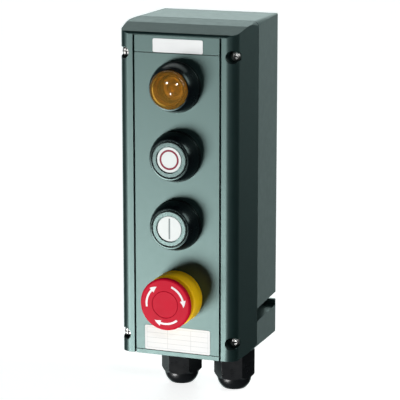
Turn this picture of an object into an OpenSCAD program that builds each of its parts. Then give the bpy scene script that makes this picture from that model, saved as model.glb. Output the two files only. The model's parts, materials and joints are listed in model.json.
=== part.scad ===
// Wall-mounted control station: lamp, OFF and ON push-buttons, mushroom emergency stop, two cable glands.
// Millimetres. Origin at the centre of the flat back face, front towards -Y, X to the right, Z up.

/* [Housing] */
// Height of the housing
housing_h = 244; // [225:1:275]
// Width at the joint between front cover and rear housing
joint_w = 96.8; // [92:0.2:112]
// Draft of the rear housing's sides towards the wall, in degrees
base_draft = 2.8; // [1:0.1:4]
// Depth from the wall to the face of the front panel
housing_d = 90.5; // [86:0.1:115]
// Depth of the front cover
cover_d = 37.5; // [35:0.1:44]
// Moulded wall thickness
wall_t = 4; // [3.4:0.1:4.4]
// Radius of the four corners seen from the front
corner_r = 4.5; // [3.5:0.1:6]
// Radius of the two edges along the back face
back_edge_r = 2; // [1:0.1:3]
// Gap left between cover and housing at the joint
joint_gap = 0.6; // [0.4:0.1:1]

/* [Front cover] */
// Draft of the cover's sides and top, in degrees
cover_draft = 6.55; // [5:0.05:7]
// Drop from the top of the housing to where the front face would meet the top bevel
front_drop = 6.7; // [5.5:0.1:9]
// Depth of the top bevel
bevel_d = 20; // [14:0.1:24]
// Radius of the long vertical front edges
long_edge_r = 8; // [6:0.1:9]
// Radius along the top of the front face
top_edge_r = 2.2; // [1.6:0.1:3]
// Thickness of the cover behind the front plate
cover_floor_t = 3.5; // [3:0.1:4.5]

/* [Front panel] */
// Width from the side of the joint to the channel that holds the front plate
side_w = 14.7; // [14:0.1:16]
// Width of the groove left on each side of the front plate
groove_w = 1.4; // [0.8:0.1:2]
// Thickness of the front plate and label strip
plate_t = 2.5; // [2:0.1:3.5]
// Height of the foot ledge under the front plate
foot_h = 3.1; // [2.5:0.1:5]
// Drop from the top of the housing to the top end of the label strip
strip_drop = 8.6; // [8.6:0.1:12]
// Height of the label strip
strip_h = 12.2; // [11.8:0.1:15]
// Width of the seams between the panel pieces
seam_w = 0.4; // [0.2:0.05:0.8]
// Width of the name label
name_label_w = 38; // [30:0.5:56]
// Height of the name label
name_label_h = 9.8; // [7:0.1:11]
// Shift of the name label to the right of the centre line
label_shift = 0.8; // [0:0.1:2]
// Width of the rating plate
rating_w = 50.8; // [40:0.2:60]
// Height of the rating plate
rating_h = 18.4; // [12:0.2:20]
// Thickness of the labels
label_t = 0.5; // [0.4:0.05:0.8]
// Depth of the pockets that the labels lie in
label_pocket = 0.35; // [0.2:0.05:0.35]

/* [Cover screws] */
// Distance of the screws from the sides of the joint
screw_side = 7; // [6.9:0.1:7.6]
// Distance of the screws from the ends of the front face
screw_end = 13.2; // [12.6:0.1:14]
// Radius of the screw shank
screw_r = 2; // [1.5:0.1:2.2]
// Radius of the screw head
screw_head_r = 3.5; // [3.2:0.1:4.2]
// Height of the screw head
screw_head_h = 2.6; // [2:0.1:3.2]
// Radius of the round recess for the head
recess_r = 4.6; // [4.3:0.1:4.8]
// Depth of the recess floor behind the front face
recess_d = 9.6; // [8.6:0.1:12]
// Length of thread in the rear housing
screw_grip = 12; // [8:0.5:20]

/* [Side slots] */
// Height of the slot floor above the housing's foot
slot_z = 21.3; // [20.8:0.1:24]
// Height of the slot
slot_h = 10; // [7:0.1:12]
// Depth of the slot, measured in from the back corner
slot_deep = 9; // [7:0.1:10]
// Height of the lip that closes the lower part of the slot at the wall
lip_h = 4.4; // [3:0.1:6]
// Thickness of that lip
lip_t = 3; // [2:0.1:5]

/* [Wall fixing] */
// Spacing of the fixing holes across
fix_x = 60; // [50:1:62]
// Spacing of the fixing holes up and down
fix_z = 205; // [190:1:212]
// Radius of the fixing holes
fix_r = 2.75; // [2:0.05:3.2]

/* [Control positions] */
// Distance of the indicator lamp below the top of the housing
lamp_drop = 44.5; // [43.5:0.1:47]
// Height of the emergency stop above the foot of the housing
estop_z = 45.5; // [44.5:0.1:47]
// Room added between the emergency stop and the button above it
estop_room = 3.6; // [0:0.1:6]
// Radius of the mounting holes
hole_r = 15.25; // [15.1:0.05:15.6]

/* [Bezels] */
// Radius of the bezel's foot
bezel_r = 20; // [19.6:0.1:21.5]
// Height of the bezel's foot
bezel_foot_h = 2.4; // [1.8:0.1:4]
// Height where the bezel's shoulder begins
bezel_base_h = 6.4; // [5.5:0.1:8]
// Fullness of the shoulder, as the radius it leans out to
shoulder_r = 18.4; // [17.4:0.1:19]
// Height of that leaning point
shoulder_h = 10.6; // [9:0.1:12]
// Radius of the front lip
lip_r = 14.7; // [14.4:0.1:15.6]
// Height of the front lip
bezel_h = 15.1; // [14:0.1:17]
// Radius of the bore that the button cap runs in
bezel_bore_r = 13.2; // [12.8:0.05:13.5]
// Radius of the threaded neck
neck_r = 15; // [14.6:0.05:15]
// Radius of the neck's bore
neck_bore_r = 12; // [11:0.1:12.5]
// Length of the neck behind the front face
neck_len = 16; // [15:0.1:17.5]
// Thickness of the web that guides the plunger
web_t = 3; // [2:0.1:3.4]
// Thickness of the ring nut behind the panel
nut_t = 5; // [4:0.1:6]
// Radius of the ring nut
nut_r = 19; // [17.5:0.1:20]

/* [Lamp] */
// Radius of the lens
lens_r = 14; // [13.6:0.05:14.2]
// Height of the lens rim in front of the panel
lens_rim_h = 16.4; // [15.6:0.1:18]
// Height of the dome above the lens rim
lens_dome_h = 7.4; // [5:0.1:9]
// Wall of the lens
lens_t = 1.8; // [1.2:0.1:2.5]
// Depth of the lens seat behind the bezel's lip
lens_seat_d = 4.5; // [3:0.1:6]
// Radius of the lamp insert
led_r = 5; // [4:0.1:6]
// Height of the lamp insert in front of the panel
led_h = 10.5; // [8:0.1:12]
// Length of the lamp holder behind the neck
holder_len = 20; // [16:0.5:24]

/* [Push-buttons] */
// Travel of the ON and OFF buttons
button_travel = 4; // [3:0.1:4]
// Height of the cap face in front of the panel
cap_h = 15.8; // [15.4:0.1:17]
// Radial gap between cap and bezel
cap_gap = 0.3; // [0.2:0.05:0.5]
// Radius of the legend disc
legend_r = 9.5; // [8.5:0.1:10]
// Depth of the pocket that the legend disc lies in
legend_pocket = 1.2; // [0.8:0.1:1.5]
// Thickness of the legend disc
legend_t = 0.6; // [0.4:0.1:0.8]
// Radius of the plunger
plunger_r = 4; // [3:0.1:4.2]
// Running gap around the plungers and stems
run_gap = 0.05; // [0.03:0.01:0.08]

/* [Emergency stop] */
// Travel of the emergency stop
estop_travel = 5; // [3:0.1:5]
// Radius of the mushroom head
head_r = 19.2; // [18:0.1:21]
// Height of the head's face in front of the panel
head_h = 24.4; // [24.2:0.1:28]
// Thickness of the head's rim
head_rim_t = 3.8; // [3:0.1:4]
// Radius of the centre cap
centre_r = 9.9; // [8.5:0.1:11]
// Thickness of the centre cap
centre_t = 2; // [1.5:0.1:2.5]
// Radius of the yellow collar
collar_r = 19.4; // [18.6:0.1:21.5]
// Height of the collar's waist
collar_waist_h = 8.6; // [5:0.1:10]
// Height of the collar
collar_h = 15; // [13:0.1:15]
// Radius of the head's skirt
skirt_r = 12.4; // [11.5:0.1:12.6]
// Radius of the bore that the skirt runs in
collar_bore_r = 13; // [12.8:0.1:13.4]
// Height of the latch ring in the neck
latch_h = 9.5; // [8:0.1:11]

/* [Contact blocks] */
// Width of a contact block
block_w = 32; // [28:0.5:38]
// Height of a contact block
block_h = 40; // [38:0.5:42]
// Depth of a contact block
block_d = 28; // [26:0.5:30]
// Wall of a contact block
block_wall = 3; // [2:0.1:4]
// Distance of the contact bridge behind the neck
bridge_drop = 10; // [9:0.1:11]
// Width of the contact bridge
bridge_w = 5; // [4:0.1:7]
// Length of the contact bridge
bridge_len = 24; // [22:0.5:26]
// Thickness of the contact metal
metal_t = 1.2; // [0.8:0.1:1.5]

/* [Rail and terminals] */
// Length of the mounting rail
rail_len = 130; // [110:1:140]
// Width of the mounting rail
rail_w = 35; // [35:0.5:36]
// Height of the mounting rail
rail_h = 7.5; // [7:0.1:8]
// Thickness of the rail
rail_t = 1; // [0.8:0.1:1.5]
// Distance of the rail from the inside of the back wall
rail_lift = 7; // [6:0.1:8]
// Distance of the rail's middle below the middle of the housing
rail_drop = 5; // [2:0.5:8]
// Distance of the rail's screws from its ends
rail_screw_end = 15; // [12:0.5:20]
// Number of terminal blocks
terminal_count = 6; // [2:1:8]
// Thickness of one terminal block
terminal_t = 6; // [5:0.1:6.5]
// Room left between the contact blocks and the terminal blocks behind them
terminal_room = 6; // [4:0.1:9]
// Distance of the terminal screws from the middle of the block
well_x = 11; // [10:0.1:12]
// Height of the earth terminal above the foot of the housing
earth_z = 32; // [30:0.5:34]
// Width of the earth terminal's plate
earth_w = 24; // [18:0.5:28]

/* [Cable glands] */
// Distance of the glands from the sides of the joint
gland_side = 27; // [25.5:0.1:28]
// Width across the flats of the gland hexagons
gland_af = 27; // [26:0.1:29]
// Turn of the cap nuts' hexagons, in degrees
gland_turn = 12; // [0:1:60]
// Radius of the gland's thread
gland_thread_r = 11.25; // [10.8:0.05:11.6]
// Radius of the cable bore in the sealing insert
cable_r = 7; // [5:0.1:7.2]
// Distance from the housing's foot to the lower end of the gland nuts' flats
gland_flat_len = 30.5; // [28:0.1:36]
// Distance from the housing's foot to the end of the domed nut
gland_len = 39; // [36.5:0.1:44]
// Height of the fixed hexagon under the housing
gland_hex_h = 7; // [5:0.1:9]
// Height of the gland's thread inside the housing
gland_thread_in = 7; // [6:0.1:9]

/* [Hidden] */
$fn = 64;

// Clearances and small overlaps
fit_gap = 0.1;
loose_gap = 0.25;
nick = 0.01;
over = 1;

// Housing and cover
front_y = -housing_d;
foot_z = -housing_h / 2;
joint_half = joint_w / 2;
base_start = cover_d + joint_gap;
base_inner = housing_d - wall_t;
back_half = joint_half - (housing_d - base_start) * tan(base_draft);
front_half = joint_half - cover_d * tan(cover_draft);
front_h = housing_h - front_drop;
crease_z = housing_h - (cover_d - bevel_d) * tan(cover_draft);
panel_t = plate_t + cover_floor_t;
inner_edge_r = 1;
rim_land = 4;
gasket_out = 1.3;
gasket_in = 3;
gasket_groove = 1;
slot_floor_x = back_half - slot_deep;

// Front panel
channel_x = joint_half - side_w;
plate_half = channel_x - groove_w;
strip_top_z = housing_h - strip_drop;
strip_z = strip_top_z - strip_h;
rating_mid = foot_h + seam_w + rating_h / 2 + fit_gap;
label_mid = strip_z + seam_w / 2 + name_label_h / 2 + 2 * fit_gap;
label_r = 1.2;

// Cover screws
screw_x = joint_half - screw_side;
screw_heights = [screw_end, strip_top_z - screw_end];
screw_land = 2.7;
screw_spare = 2;
drive_w = 1;
drive_depth = 1.4;

// Controls
lamp_z = housing_h - lamp_drop;
control_pitch = (lamp_z - estop_z - estop_room) / 3;
on_z = estop_z + estop_room + control_pitch;
off_z = on_z + control_pitch;
foot_ledge = 0.5;
lip_edge = 0.4;
shoulder_steps = 8;
gasket_land = 1.3;
gasket_r0 = neck_r + gasket_land;
gasket_r1 = min(bezel_r, collar_r) - gasket_land;
panel_gasket_t = 1.2;
nut_notch_w = 4;
nut_notch_d = 1.5;
end_gap = 0.5;

// Shaft seals, stops and springs
seal_w = 3.5;
seal_r = plunger_r + seal_w;
seal_t = 2.5;
cup_wall = 1.4;
stop_w = 1.2;
stop_r = seal_r + stop_w;
stop_gap = 0.3;
stop_t = 1.5;
spring_wire = 0.6;
spring_room = 4;
spring_r = plunger_r + spring_room;
spring_sides = 6;
boss_wall = 1.6;
boss_r = plunger_r + boss_wall;
boss_h = 4;

// Button caps
cap_r = bezel_bore_r - cap_gap;
cap_wall = 2.2;
cap_web = 1.6;
cap_edge = 0.5;
cap_ceiling = cap_h - legend_pocket - cap_web;
cap_skirt_end = web_t + button_travel + end_gap;
legend_gap = 0.3;

// Lamp
lip_wall = 0.5;
lens_out = min(lens_r, lip_r - lip_wall - fit_gap);
lens_seat_h = bezel_h - lens_seat_d;
lens_skirt = 1.2;
lamp_ledge = 2;
holder_back = -neck_len - holder_len;
holder_floor = 4;
led_flange = 1.5;
led_flange_t = 3;

// Emergency stop
head_under = head_h - head_rim_t;
head_top_t = 5.4;
head_ceiling = head_h - head_top_t;
head_edge = 1.4;
skirt_wall = 2;
skirt_root = collar_bore_r - skirt_r - fit_gap;
skirt_end = web_t + estop_travel + end_gap;
collar_step = 0.3;
collar_edge = 1;
latch_notch_w = 3;
latch_notch_d = 1.2;
latch_notch_h = 3;

// Contact blocks
grip_wall = 2.4;
grip_r = neck_r + grip_wall;
grip_h = 3.6;
bridge_h = -neck_len - bridge_drop;
bridge_pin_r = 2;
bridge_pin_h = 3;
plunger_end = bridge_h + bridge_pin_h;
tip_r = 1.5;
tip_t = 0.6;
tip_inset = 2;
tip_reach = bridge_len / 2 - tip_inset;
contact_gap = 0.2;
bridge_side = 3;
bridge_end = 1.5;
cavity_half_w = bridge_w / 2 + bridge_side;
cavity_half_h = bridge_len / 2 + bridge_end;
cavity_front = -neck_len - block_wall;
cavity_back = -neck_len - block_d + block_wall;
shelf_len = 5;
shelf_mid = block_h / 2 - shelf_len / 2;
block_screw_r = 1.5;
block_screw_len = 4;
block_head_h = 1.6;
block_drive_w = 0.7;

// Faces of the strips that carry the fixed contacts, for a contact that is closed or open at rest
closed_strip = bridge_h + 2 * tip_t + metal_t + contact_gap;
open_strip = bridge_h - metal_t - 2 * tip_t - button_travel - contact_gap;

// Rail, terminals and earth
rail_seat = base_inner - rail_lift;
rail_mid_z = housing_h / 2 - rail_drop;
rail_brim = 5;
rail_web = rail_w / 2 - rail_brim;
rail_boss_r = 6;
rail_screw_z = [rail_mid_z - rail_len / 2 + rail_screw_end, rail_mid_z + rail_len / 2 - rail_screw_end];
rail_screw_r = 1.9;
rail_screw_len = 6;
rail_head_r = 3.6;
rail_head_h = 2;
terminal_gap = 0.2;
terminal_pitch = terminal_t + terminal_gap;
terminal_z0 = rail_mid_z - terminal_count * terminal_pitch / 2;
terminal_front = neck_len + block_d + terminal_room;
terminal_h = rail_seat - rail_h - terminal_front;
terminal_over = 3.5;
terminal_half = rail_w / 2 + terminal_over;
terminal_foot = 1.6;
terminal_step_w = 4;
terminal_shoulder = 0.55 * terminal_h;
well_r = 2.1;
well_d = 0.36 * terminal_h;
wire_r = 1.9;
wire_h = 0.6 * terminal_h;
wire_d = 7;
clamp_r = 2;
clamp_len = well_d / 2;
earth_lift = 5;
earth_seat = base_inner - earth_lift;
earth_h = 9;
earth_t = 3;
earth_edge = 1;

// Cable glands
gland_x = joint_half - gland_side;
gland_y = (base_start + housing_d) / 2;
washer_t = 1.5;
gland_hex_z = -washer_t;
gland_hex_end = gland_hex_z - gland_hex_h;
gland_hex_turn = 20;
gland_edge = 0.3;
sleeve_step = 0.6;
sleeve_wall = 1.6;
sleeve_room = 5;
gland_sleeve_r = gland_thread_r - sleeve_step;
gland_sleeve_end = gland_flat_len - sleeve_room;
insert_r = gland_sleeve_r - sleeve_wall;
insert_land = 1;
insert_top = gland_hex_end - insert_land;
insert_lip = 1.2;
mouth_gap = 0.8;
mouth_rim = 2;
locknut_t = 5;

// Places children so that their Z axis points out of the front panel at height z above the foot
module at_panel(z) {
    translate([0, front_y, foot_z + z]) rotate([90, 0, 0]) children();
}

// Places children drawn in plan, x across and y measured back from the front face
module in_plan(z0, z1) {
    translate([0, front_y, foot_z + z0]) linear_extrude(height = z1 - z0) children();
}

// Places children drawn from the side, x measured back from the front face and y up from the foot
module in_side(half_width) {
    translate([-half_width, front_y, foot_z]) rotate([90, 0, 90])
        linear_extrude(height = 2 * half_width) children();
}

// Places children drawn from the front, x across and y up from the foot, between two depths behind the front
module in_front(d0, d1) {
    translate([0, front_y + d1, foot_z]) rotate([90, 0, 0]) linear_extrude(height = d1 - d0) children();
}

module mirror_x() {
    children();
    mirror([1, 0, 0]) children();
}

module at_screws() {
    for (side = [-1, 1]) {
        for (h = screw_heights) {
            translate([side * screw_x, h]) children();
        }
    }
}

module round_rect(w, h, r) {
    square([w - 2 * r, h], center = true);
    square([w, h - 2 * r], center = true);
    for (side = [-1, 1]) {
        for (end = [-1, 1]) {
            translate([side * (w / 2 - r), end * (h / 2 - r)]) circle(r = r);
        }
    }
}

// Outline of cover and housing seen from the front, moved inwards by inset
module outline(inset) {
    translate([0, housing_h / 2])
        round_rect(joint_w - 2 * inset, housing_h - 2 * inset, max(corner_r - inset, inner_edge_r));
}

// Area inside the wet screw posts and side slots, at a distance g from everything that is wet
module dry_area(g, with_slots) {
    difference() {
        outline(g);
        at_screws() circle(r = screw_land + g);
        if (with_slots) {
            mirror_x() translate([slot_floor_x - g, slot_z - g]) square([joint_w, slot_h + 2 * g]);
        }
    }
}

// Plan of the front cover: flat front, drafted sides, long edges round outside and chamfered inside
module cover_plan(inset, start, end) {
    r = max(long_edge_r - inset, inner_edge_r);
    half = front_half - inset + start * tan(cover_draft);
    centre_x = half + r * (sin(cover_draft) - 1) / cos(cover_draft);
    tangent = [centre_x + r * cos(cover_draft), start + r - r * sin(cover_draft)];
    rear = [front_half - inset + end * tan(cover_draft), end];
    polygon([
        [-centre_x, start], [centre_x, start], tangent, rear,
        [-rear[0], rear[1]], [-tangent[0], tangent[1]]
    ]);
    if (inset == 0) {
        for (side = [-1, 1]) {
            translate([side * centre_x, start + r]) circle(r = r);
        }
    }
}

// Side view of the front cover: upright front, round top edge, bevel, drafted top
module cover_side(inset, start, end) {
    slope = atan((crease_z - front_h) / bevel_d);
    drop = inset / cos(slope);
    r = inset > 0 ? inner_edge_r : top_edge_r;
    corner_z = front_h + start * tan(slope) - drop;
    centre_z = corner_z - r * tan((90 - slope) / 2);
    steps = 10;
    edge = [for (i = [0:steps])
        let (a = 180 - (90 - slope) * i / steps)
        [start + r + r * cos(a), centre_z + r * sin(a)]];
    polygon(concat([[start, inset]], edge, [
        [bevel_d, crease_z - inset],
        [end, housing_h - inset + (end - cover_d) * tan(cover_draft)],
        [end, inset]
    ]));
}

// Plan of the rear housing: drafted sides, round back edges
module housing_plan(inset, end) {
    r = max(back_edge_r - inset, inner_edge_r);
    back = back_half - inset;
    polygon([
        [-joint_half + inset, base_start], [joint_half - inset, base_start],
        [back, end - r], [back - r, end], [-back + r, end], [-back, end - r]
    ]);
    for (side = [-1, 1]) {
        translate([side * (back - r), end - r]) circle(r = r);
    }
}

module cover_form(inset, start, end) {
    intersection() {
        in_plan(inset, housing_h) cover_plan(inset, start, end);
        in_side(joint_w) cover_side(inset, start, end);
        in_front(start, end) outline(inset);
    }
}

module device_holes(z0) {
    for (z = [lamp_z, off_z, on_z, estop_z]) {
        at_panel(z) translate([0, 0, -z0]) cylinder(r = hole_r, h = z0 + over);
    }
}

module front_cover() {
    color([0.20, 0.25, 0.24]) difference() {
        cover_form(0, 0, cover_d);
        intersection() {
            cover_form(wall_t, panel_t, cover_d + over);
            union() {
                in_front(panel_t - over, cover_d - rim_land) dry_area(wall_t, false);
                in_front(cover_d - rim_land - nick, cover_d + over) dry_area(wall_t, true);
            }
        }
        in_front(-over, plate_t) translate([-channel_x, foot_h])
            square([2 * channel_x, strip_top_z + fit_gap - foot_h]);
        mirror_x() in_front(-over, plate_t) translate([plate_half, -over])
            square([groove_w, foot_h + 2 * over]);
        in_front(-over, recess_d) at_screws() circle(r = recess_r);
        in_front(recess_d - over, cover_d + over) at_screws() circle(r = screw_r + loose_gap);
        device_holes(panel_t + over);
    }
}

module slot_cut() {
    mirror_x() difference() {
        in_front(base_start - over, housing_d + over)
            translate([slot_floor_x, slot_z]) square([joint_half, slot_h]);
        in_front(housing_d - lip_t, housing_d)
            translate([slot_floor_x - over, slot_z]) square([joint_half + 2 * over, lip_h]);
    }
}

module rear_housing() {
    color([0.17, 0.22, 0.21]) difference() {
        intersection() {
            in_plan(0, housing_h) housing_plan(0, housing_d);
            in_front(base_start, housing_d) outline(0);
        }
        difference() {
            intersection() {
                in_plan(wall_t, housing_h - wall_t)
                    translate([0, -2 * over]) housing_plan(wall_t, base_inner + 2 * over);
                in_front(base_start - over, base_inner) dry_area(wall_t, true);
            }
            for (z = rail_screw_z) {
                in_front(rail_seat, base_inner + over) translate([0, z]) circle(r = rail_boss_r);
            }
            in_front(earth_seat, base_inner + over) translate([0, earth_z])
                square([earth_w + 2 * earth_edge, earth_h + 2 * earth_edge], center = true);
        }
        in_front(base_start - over, base_start + gasket_groove) gasket_ring();
        slot_cut();
        in_front(base_start - over, base_start + screw_grip + screw_spare) at_screws() circle(r = screw_r);
        for (side = [-1, 1]) {
            for (end = [-1, 1]) {
                in_front(base_inner - over, housing_d + over)
                    translate([side * fix_x / 2, housing_h / 2 + end * fix_z / 2]) circle(r = fix_r);
            }
        }
        for (z = rail_screw_z) {
            in_front(rail_seat - over, rail_seat + rail_screw_len) translate([0, z]) circle(r = rail_screw_r);
        }
        in_front(earth_seat - over, earth_seat + earth_lift) translate([0, earth_z]) circle(r = rail_screw_r);
        at_glands() translate([0, 0, -over])
            cylinder(r = gland_thread_r + 2 * fit_gap, h = wall_t + 2 * over);
    }
}

module gasket_ring() {
    difference() {
        dry_area(gasket_out, true);
        dry_area(gasket_in, true);
    }
}

module cover_gasket() {
    color([0.08, 0.08, 0.08]) in_front(cover_d, base_start + gasket_groove) difference() {
        dry_area(gasket_out + fit_gap, true);
        dry_area(gasket_in - fit_gap, true);
    }
}

module cross_slot(reach, width, depth) {
    translate([0, 0, -depth / 2]) cube([2 * reach, width, depth + nick], center = true);
    translate([0, 0, -depth / 2]) cube([width, 2 * reach, depth + nick], center = true);
}

module cover_screws() {
    shank = base_start + screw_grip - recess_d;
    color([0.78, 0.78, 0.76]) for (side = [-1, 1]) {
        for (h = screw_heights) {
            translate([side * screw_x, front_y + recess_d, foot_z + h]) rotate([90, 0, 0]) difference() {
                union() {
                    rotate_extrude() polygon([
                        [0, 0], [screw_head_r, 0], [screw_head_r, screw_head_h * 0.55],
                        [screw_head_r * 0.87, screw_head_h * 0.85], [screw_head_r * 0.63, screw_head_h],
                        [0, screw_head_h]
                    ]);
                    translate([0, 0, -shank]) cylinder(r = screw_r - fit_gap / 2, h = shank + nick);
                }
                translate([0, 0, screw_head_h]) cross_slot(screw_head_r * 0.62, drive_w, drive_depth);
            }
        }
    }
}

module label_outline(w, h) {
    round_rect(w, h, label_r);
}

module front_plate() {
    z0 = foot_h + seam_w;
    z1 = strip_z - seam_w / 2;
    color([0.24, 0.29, 0.28]) difference() {
        in_front(0, plate_t) translate([-plate_half, z0]) square([2 * plate_half, z1 - z0]);
        device_holes(plate_t + over);
        in_front(-over, label_pocket) translate([0, rating_mid])
            label_outline(rating_w + 2 * fit_gap, rating_h + 2 * fit_gap);
    }
}

module rating_plate() {
    color([0.93, 0.94, 0.93]) in_front(label_pocket - label_t, label_pocket) translate([0, rating_mid])
        label_outline(rating_w, rating_h);
}

module label_strip() {
    z0 = strip_z + seam_w / 2;
    color([0.24, 0.29, 0.28]) difference() {
        in_front(0, plate_t) translate([-plate_half, z0]) square([2 * plate_half, strip_top_z - z0]);
        in_front(-over, label_pocket) translate([label_shift, label_mid])
            label_outline(name_label_w + 2 * fit_gap, name_label_h + 2 * fit_gap);
    }
}

module name_label() {
    color([0.95, 0.96, 0.96]) in_front(label_pocket - label_t, label_pocket)
        translate([label_shift, label_mid]) label_outline(name_label_w, name_label_h);
}

// Section of the hat rail, x across and y towards the wall, brims towards the front
module rail_section() {
    difference() {
        translate([-rail_web, -rail_h]) square([2 * rail_web, rail_h]);
        translate([-rail_web + rail_t, -rail_h - over])
            square([2 * (rail_web - rail_t), rail_h + over - rail_t]);
    }
    for (side = [-1, 1]) {
        translate([side * (rail_w / 2 + rail_web - rail_t) / 2, -rail_h + rail_t / 2])
            square([rail_w / 2 - rail_web + rail_t, rail_t], center = true);
    }
}

module mounting_rail() {
    color([0.75, 0.76, 0.77]) difference() {
        in_plan(rail_mid_z - rail_len / 2, rail_mid_z + rail_len / 2)
            translate([0, rail_seat]) rail_section();
        for (z = rail_screw_z) {
            in_front(rail_seat - rail_t - over, rail_seat + over)
                translate([0, z]) circle(r = rail_screw_r + loose_gap);
        }
    }
}

// Pan-head screw with a cross drive, its head standing on z = 0
module pan_screw() {
    difference() {
        union() {
            cylinder(r = rail_head_r, h = rail_head_h);
            translate([0, 0, -rail_screw_len])
                cylinder(r = rail_screw_r - fit_gap / 2, h = rail_screw_len + nick);
        }
        translate([0, 0, rail_head_h]) cross_slot(rail_head_r * 0.6, drive_w, drive_depth);
    }
}

module rail_screws() {
    color([0.70, 0.70, 0.70]) for (z = rail_screw_z) {
        at_panel(z) translate([0, 0, -(rail_seat - rail_t)]) pan_screw();
    }
}

// Section of a terminal block with the feet that grip the rail and the groove between its two clamps
module terminal_section() {
    seat = rail_seat - rail_h;
    claw = rail_w / 2 + fit_gap;
    under = seat + rail_t + fit_gap;
    shoulder = seat - terminal_shoulder;
    neck = shoulder - terminal_step_w;
    half = [
        [claw, seat], [claw, under], [claw - terminal_foot, under],
        [claw - terminal_foot, under + terminal_foot],
        [terminal_half, under + terminal_foot], [terminal_half, shoulder],
        [terminal_half - terminal_step_w, neck], [terminal_half - terminal_step_w, terminal_front],
        [clamp_r, terminal_front], [clamp_r, terminal_front + clamp_len / 2]
    ];
    polygon(concat(half, [for (i = [len(half) - 1:-1:0]) [-half[i][0], half[i][1]]]));
}

module terminal_blocks() {
    color([0.55, 0.58, 0.58]) for (i = [0:terminal_count - 1]) {
        z0 = terminal_z0 + i * terminal_pitch;
        difference() {
            in_plan(z0, z0 + terminal_t) terminal_section();
            for (side = [-1, 1]) {
                translate([side * well_x, front_y + terminal_front - over, foot_z + z0 + terminal_t / 2])
                    rotate([-90, 0, 0]) cylinder(r = well_r, h = well_d + over);
                translate([side * (terminal_half - wire_d), front_y + terminal_front + wire_h,
                    foot_z + z0 + terminal_t / 2])
                    rotate([0, side * 90, 0]) cylinder(r = wire_r, h = wire_d + over);
            }
        }
    }
}

module terminal_screws() {
    color([0.80, 0.80, 0.78]) for (i = [0:terminal_count - 1]) {
        for (side = [-1, 1]) {
            at_panel(terminal_z0 + i * terminal_pitch + terminal_t / 2)
                translate([side * well_x, 0, -(terminal_front + well_d)]) difference() {
                    cylinder(r = clamp_r, h = clamp_len);
                    translate([0, 0, clamp_len])
                        cube([3 * clamp_r, block_drive_w, block_drive_w * 2], center = true);
                }
        }
    }
}

// Earth terminal: brass plate held on its boss by a screw of the rail's kind
module earth_terminal() {
    color([0.80, 0.66, 0.30]) {
        difference() {
            in_front(earth_seat - earth_t, earth_seat)
                translate([0, earth_z]) square([earth_w, earth_h], center = true);
            in_front(earth_seat - earth_t - over, earth_seat + over)
                translate([0, earth_z]) circle(r = rail_screw_r + loose_gap);
        }
        at_panel(earth_z) translate([0, 0, -(earth_seat - earth_t)]) pan_screw();
    }
}

// Flat gasket in the groove under a bezel
module panel_gasket(z) {
    color([0.08, 0.08, 0.08]) at_panel(z) difference() {
        cylinder(r = gasket_r1 - fit_gap, h = panel_gasket_t);
        translate([0, 0, -over]) cylinder(r = gasket_r0 + fit_gap, h = panel_gasket_t + 2 * over);
    }
}

// Ring nut that clamps the control against the inside of the cover
module ring_nut(z) {
    color([0.16, 0.16, 0.17]) at_panel(z) translate([0, 0, -panel_t - nut_t]) difference() {
        cylinder(r = nut_r, h = nut_t);
        translate([0, 0, -over]) cylinder(r = neck_r + fit_gap / 2, h = nut_t + 2 * over);
        for (i = [0:5]) {
            rotate(60 * i) translate([nut_r, 0, nut_t / 2])
                cube([2 * nut_notch_d, nut_notch_w, nut_t + 2 * over], center = true);
        }
    }
}

// Profile shared by bezels and collar: threaded neck and groove for the gasket
function neck_profile(base_r) = [
    [neck_bore_r, 0], [neck_bore_r, -neck_len], [neck_r, -neck_len], [neck_r, 0], [gasket_r0, 0],
    [gasket_r0, panel_gasket_t], [gasket_r1, panel_gasket_t], [gasket_r1, 0], [base_r, 0]
];

// Point on the curve from a to c that leans towards b
function bend(a, b, c, t) = (1 - t) * (1 - t) * a + 2 * t * (1 - t) * b + t * t * c;

// Outside of a bezel: foot, upright side, full shoulder and narrow lip
function bezel_profile() = let (
    side_r = bezel_r - foot_ledge,
    top = [lip_r + lip_edge, bezel_h - lip_edge]
) concat(
    [[bezel_r, bezel_foot_h - foot_ledge], [bezel_r - foot_ledge / 2, bezel_foot_h], [side_r, bezel_foot_h]],
    [for (i = [0:shoulder_steps])
        bend([side_r, bezel_base_h], [shoulder_r, shoulder_h], top, i / shoulder_steps)],
    [[lip_r, bezel_h]]
);

// Web with the plunger's guide and the cup of its shaft seal
function guide_profile(bore_r) = [
    [bore_r, web_t], [plunger_r + run_gap, web_t], [plunger_r + run_gap, 0], [seal_r + run_gap, 0],
    [seal_r + run_gap, -seal_t], [seal_r + cup_wall, -seal_t], [seal_r + cup_wall, 0]
];

module button_bezel(z) {
    color([0.07, 0.08, 0.08]) at_panel(z) rotate_extrude($fn = 96) polygon(concat(
        neck_profile(bezel_r), bezel_profile(), [[bezel_bore_r, bezel_h]], guide_profile(bezel_bore_r)
    ));
}

module button_cap(z) {
    pocket_r = legend_r + legend_gap;
    color([0.58, 0.64, 0.62]) at_panel(z) rotate_extrude($fn = 96) polygon([
        [0, cap_ceiling], [0, cap_h - legend_pocket], [pocket_r, cap_h - legend_pocket], [pocket_r, cap_h],
        [cap_r - cap_edge, cap_h], [cap_r, cap_h - cap_edge], [cap_r, cap_skirt_end],
        [cap_r - cap_wall, cap_skirt_end], [cap_r - cap_wall, cap_ceiling], [boss_r, cap_ceiling],
        [boss_r, cap_ceiling - boss_h], [plunger_r + run_gap, cap_ceiling - boss_h],
        [plunger_r + run_gap, cap_ceiling]
    ]);
}

module legend_disc(z) {
    color([0.95, 0.96, 0.95]) at_panel(z) translate([0, 0, cap_h - legend_pocket])
        cylinder(r = legend_r, h = legend_t, $fn = 96);
}

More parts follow.
